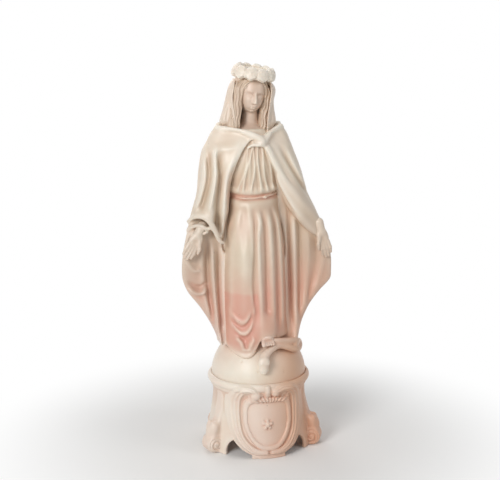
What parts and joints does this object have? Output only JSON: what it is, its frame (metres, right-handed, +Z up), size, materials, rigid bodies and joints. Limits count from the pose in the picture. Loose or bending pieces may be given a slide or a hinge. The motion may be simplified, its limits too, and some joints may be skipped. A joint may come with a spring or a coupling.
{
  "type": "madonna statue",
  "caption": "Standing Madonna in a mantle and rose crown, on a globe with a serpent and a scrolled pedestal, in glazed ivory ceramic.",
  "frame": {"origin": "on the standing surface, under the middle of the pedestal", "axes": "+Z up along the statue's height; the front faces -Y; +X is to a viewer's right"},
  "size_m": [0.1414, 0.1032, 0.36],
  "materials": {
    "glaze_ivory": "gloss",
    "glaze_cream": "gloss",
    "glaze_rose": "gloss"
  },
  "bodies": {
    "root": {"pedestal_shell": "glaze_ivory", "pedestal_rim": "glaze_ivory", "scroll_foot_left": "glaze_ivory", "scroll_foot_right": "glaze_ivory", "scroll_foot_back_left": "glaze_ivory", "scroll_foot_back_right": "glaze_ivory", "cartouche_panel": "glaze_rose", "cartouche_frame": "glaze_ivory", "cartouche_border": "glaze_ivory", "cartouche_scroll_left": "glaze_ivory", "cartouche_scroll_right": "glaze_ivory", "cartouche_keystone": "glaze_ivory", "cartouche_motif": "glaze_ivory", "globe": "glaze_cream", "serpent": "glaze_ivory", "foot": "glaze_cream", "robe_skirt": "glaze_rose", "girdle": "glaze_rose", "bodice": "glaze_ivory", "mantle": "glaze_ivory", "mantle_collar": "glaze_cream", "mantle_clasp": "glaze_cream", "cuff_left": "glaze_ivory", "cuff_right": "glaze_ivory", "hand_left": "glaze_cream", "hand_right": "glaze_cream", "head": "glaze_ivory", "hair": "glaze_rose", "veil": "glaze_ivory", "crown_band": "glaze_cream", "crown_roses": "glaze_cream", "crown_leaves": "glaze_cream"}
  },
  "joints": []
}
